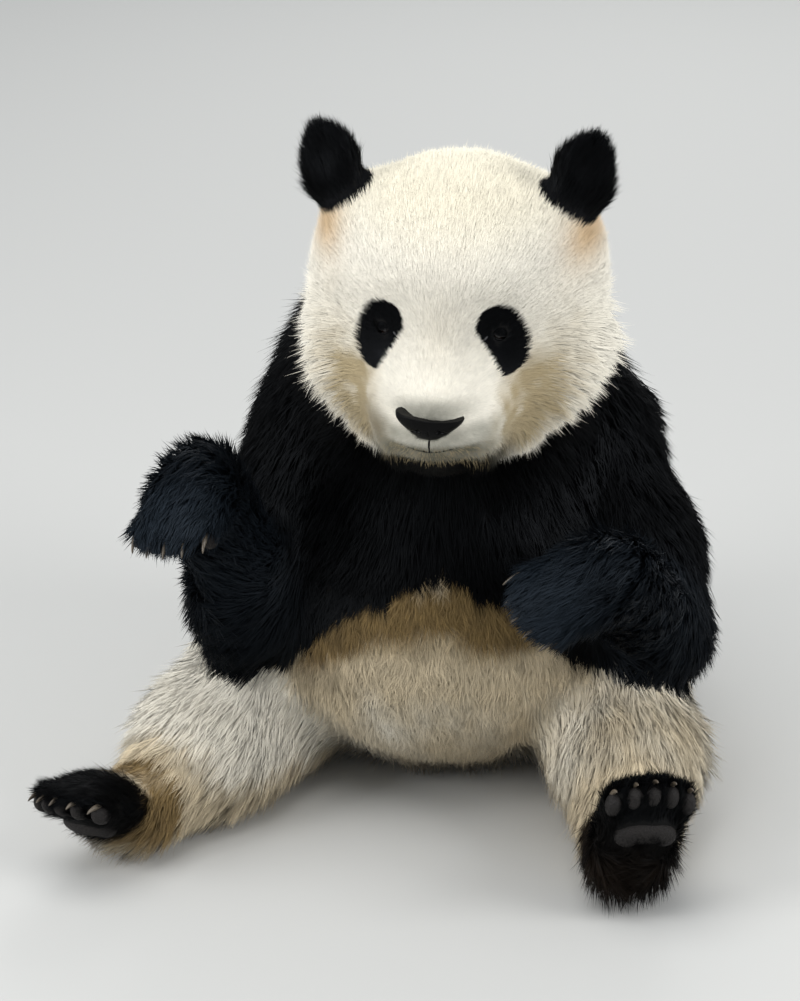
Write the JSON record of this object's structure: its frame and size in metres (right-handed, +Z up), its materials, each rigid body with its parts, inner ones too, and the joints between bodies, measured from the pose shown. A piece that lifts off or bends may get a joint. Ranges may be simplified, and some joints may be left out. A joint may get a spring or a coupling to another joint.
{
  "type": "giant panda",
  "caption": "Life-size museum-type model of a giant panda sitting on its rump, one forepaw raised beside the chin and the other held before the belly.",
  "frame": {"origin": "on the floor, on the flat under the rump, in the body's middle plane and under the chest", "axes": "+Z up, -Y the way the animal faces, +X towards the animal's own left side"},
  "size_m": [0.6849, 0.7729, 0.7174],
  "materials": {
    "white_coat": "dense soft fur, warm white",
    "black_coat": "dense soft fur, black with a faint cool sheen",
    "soiled_coat": "dense soft fur, white soiled to a brownish cream",
    "nose_leather": "moist, finely pebbled bare skin",
    "eye_gloss": "wet gloss, near-black brown",
    "claw_horn": "half-matt dark horn"
  },
  "bodies": {
    "root": {"head": "white_coat", "neck": "white_coat", "trunk": "soiled_coat", "tail": "white_coat", "ear_left": "black_coat", "ear_right": "black_coat", "eye_left": "eye_gloss", "eye_right": "eye_gloss", "nose": "nose_leather", "upper_arm_left": "black_coat", "forearm_left": "black_coat", "forepaw_left": "black_coat", "thigh_left": "soiled_coat", "shank_left": "black_coat", "hindfoot_left": "black_coat", "upper_arm_right": "black_coat", "forearm_right": "black_coat", "forepaw_right": "black_coat", "thigh_right": "soiled_coat", "shank_right": "black_coat", "hindfoot_right": "black_coat", "claw_forepaw_left_1": "claw_horn", "claw_forepaw_left_2": "claw_horn", "claw_forepaw_left_3": "claw_horn", "claw_forepaw_left_4": "claw_horn", "claw_forepaw_left_5": "claw_horn", "claw_forepaw_right_1": "claw_horn", "claw_forepaw_right_2": "claw_horn", "claw_forepaw_right_3": "claw_horn", "claw_forepaw_right_4": "claw_horn", "claw_forepaw_right_5": "claw_horn", "claw_hindfoot_left_1": "claw_horn", "claw_hindfoot_left_2": "claw_horn", "claw_hindfoot_left_3": "claw_horn", "claw_hindfoot_left_4": "claw_horn", "claw_hindfoot_left_5": "claw_horn", "claw_hindfoot_right_1": "claw_horn", "claw_hindfoot_right_2": "claw_horn", "claw_hindfoot_right_3": "claw_horn", "claw_hindfoot_right_4": "claw_horn", "claw_hindfoot_right_5": "claw_horn"}
  },
  "joints": []
}
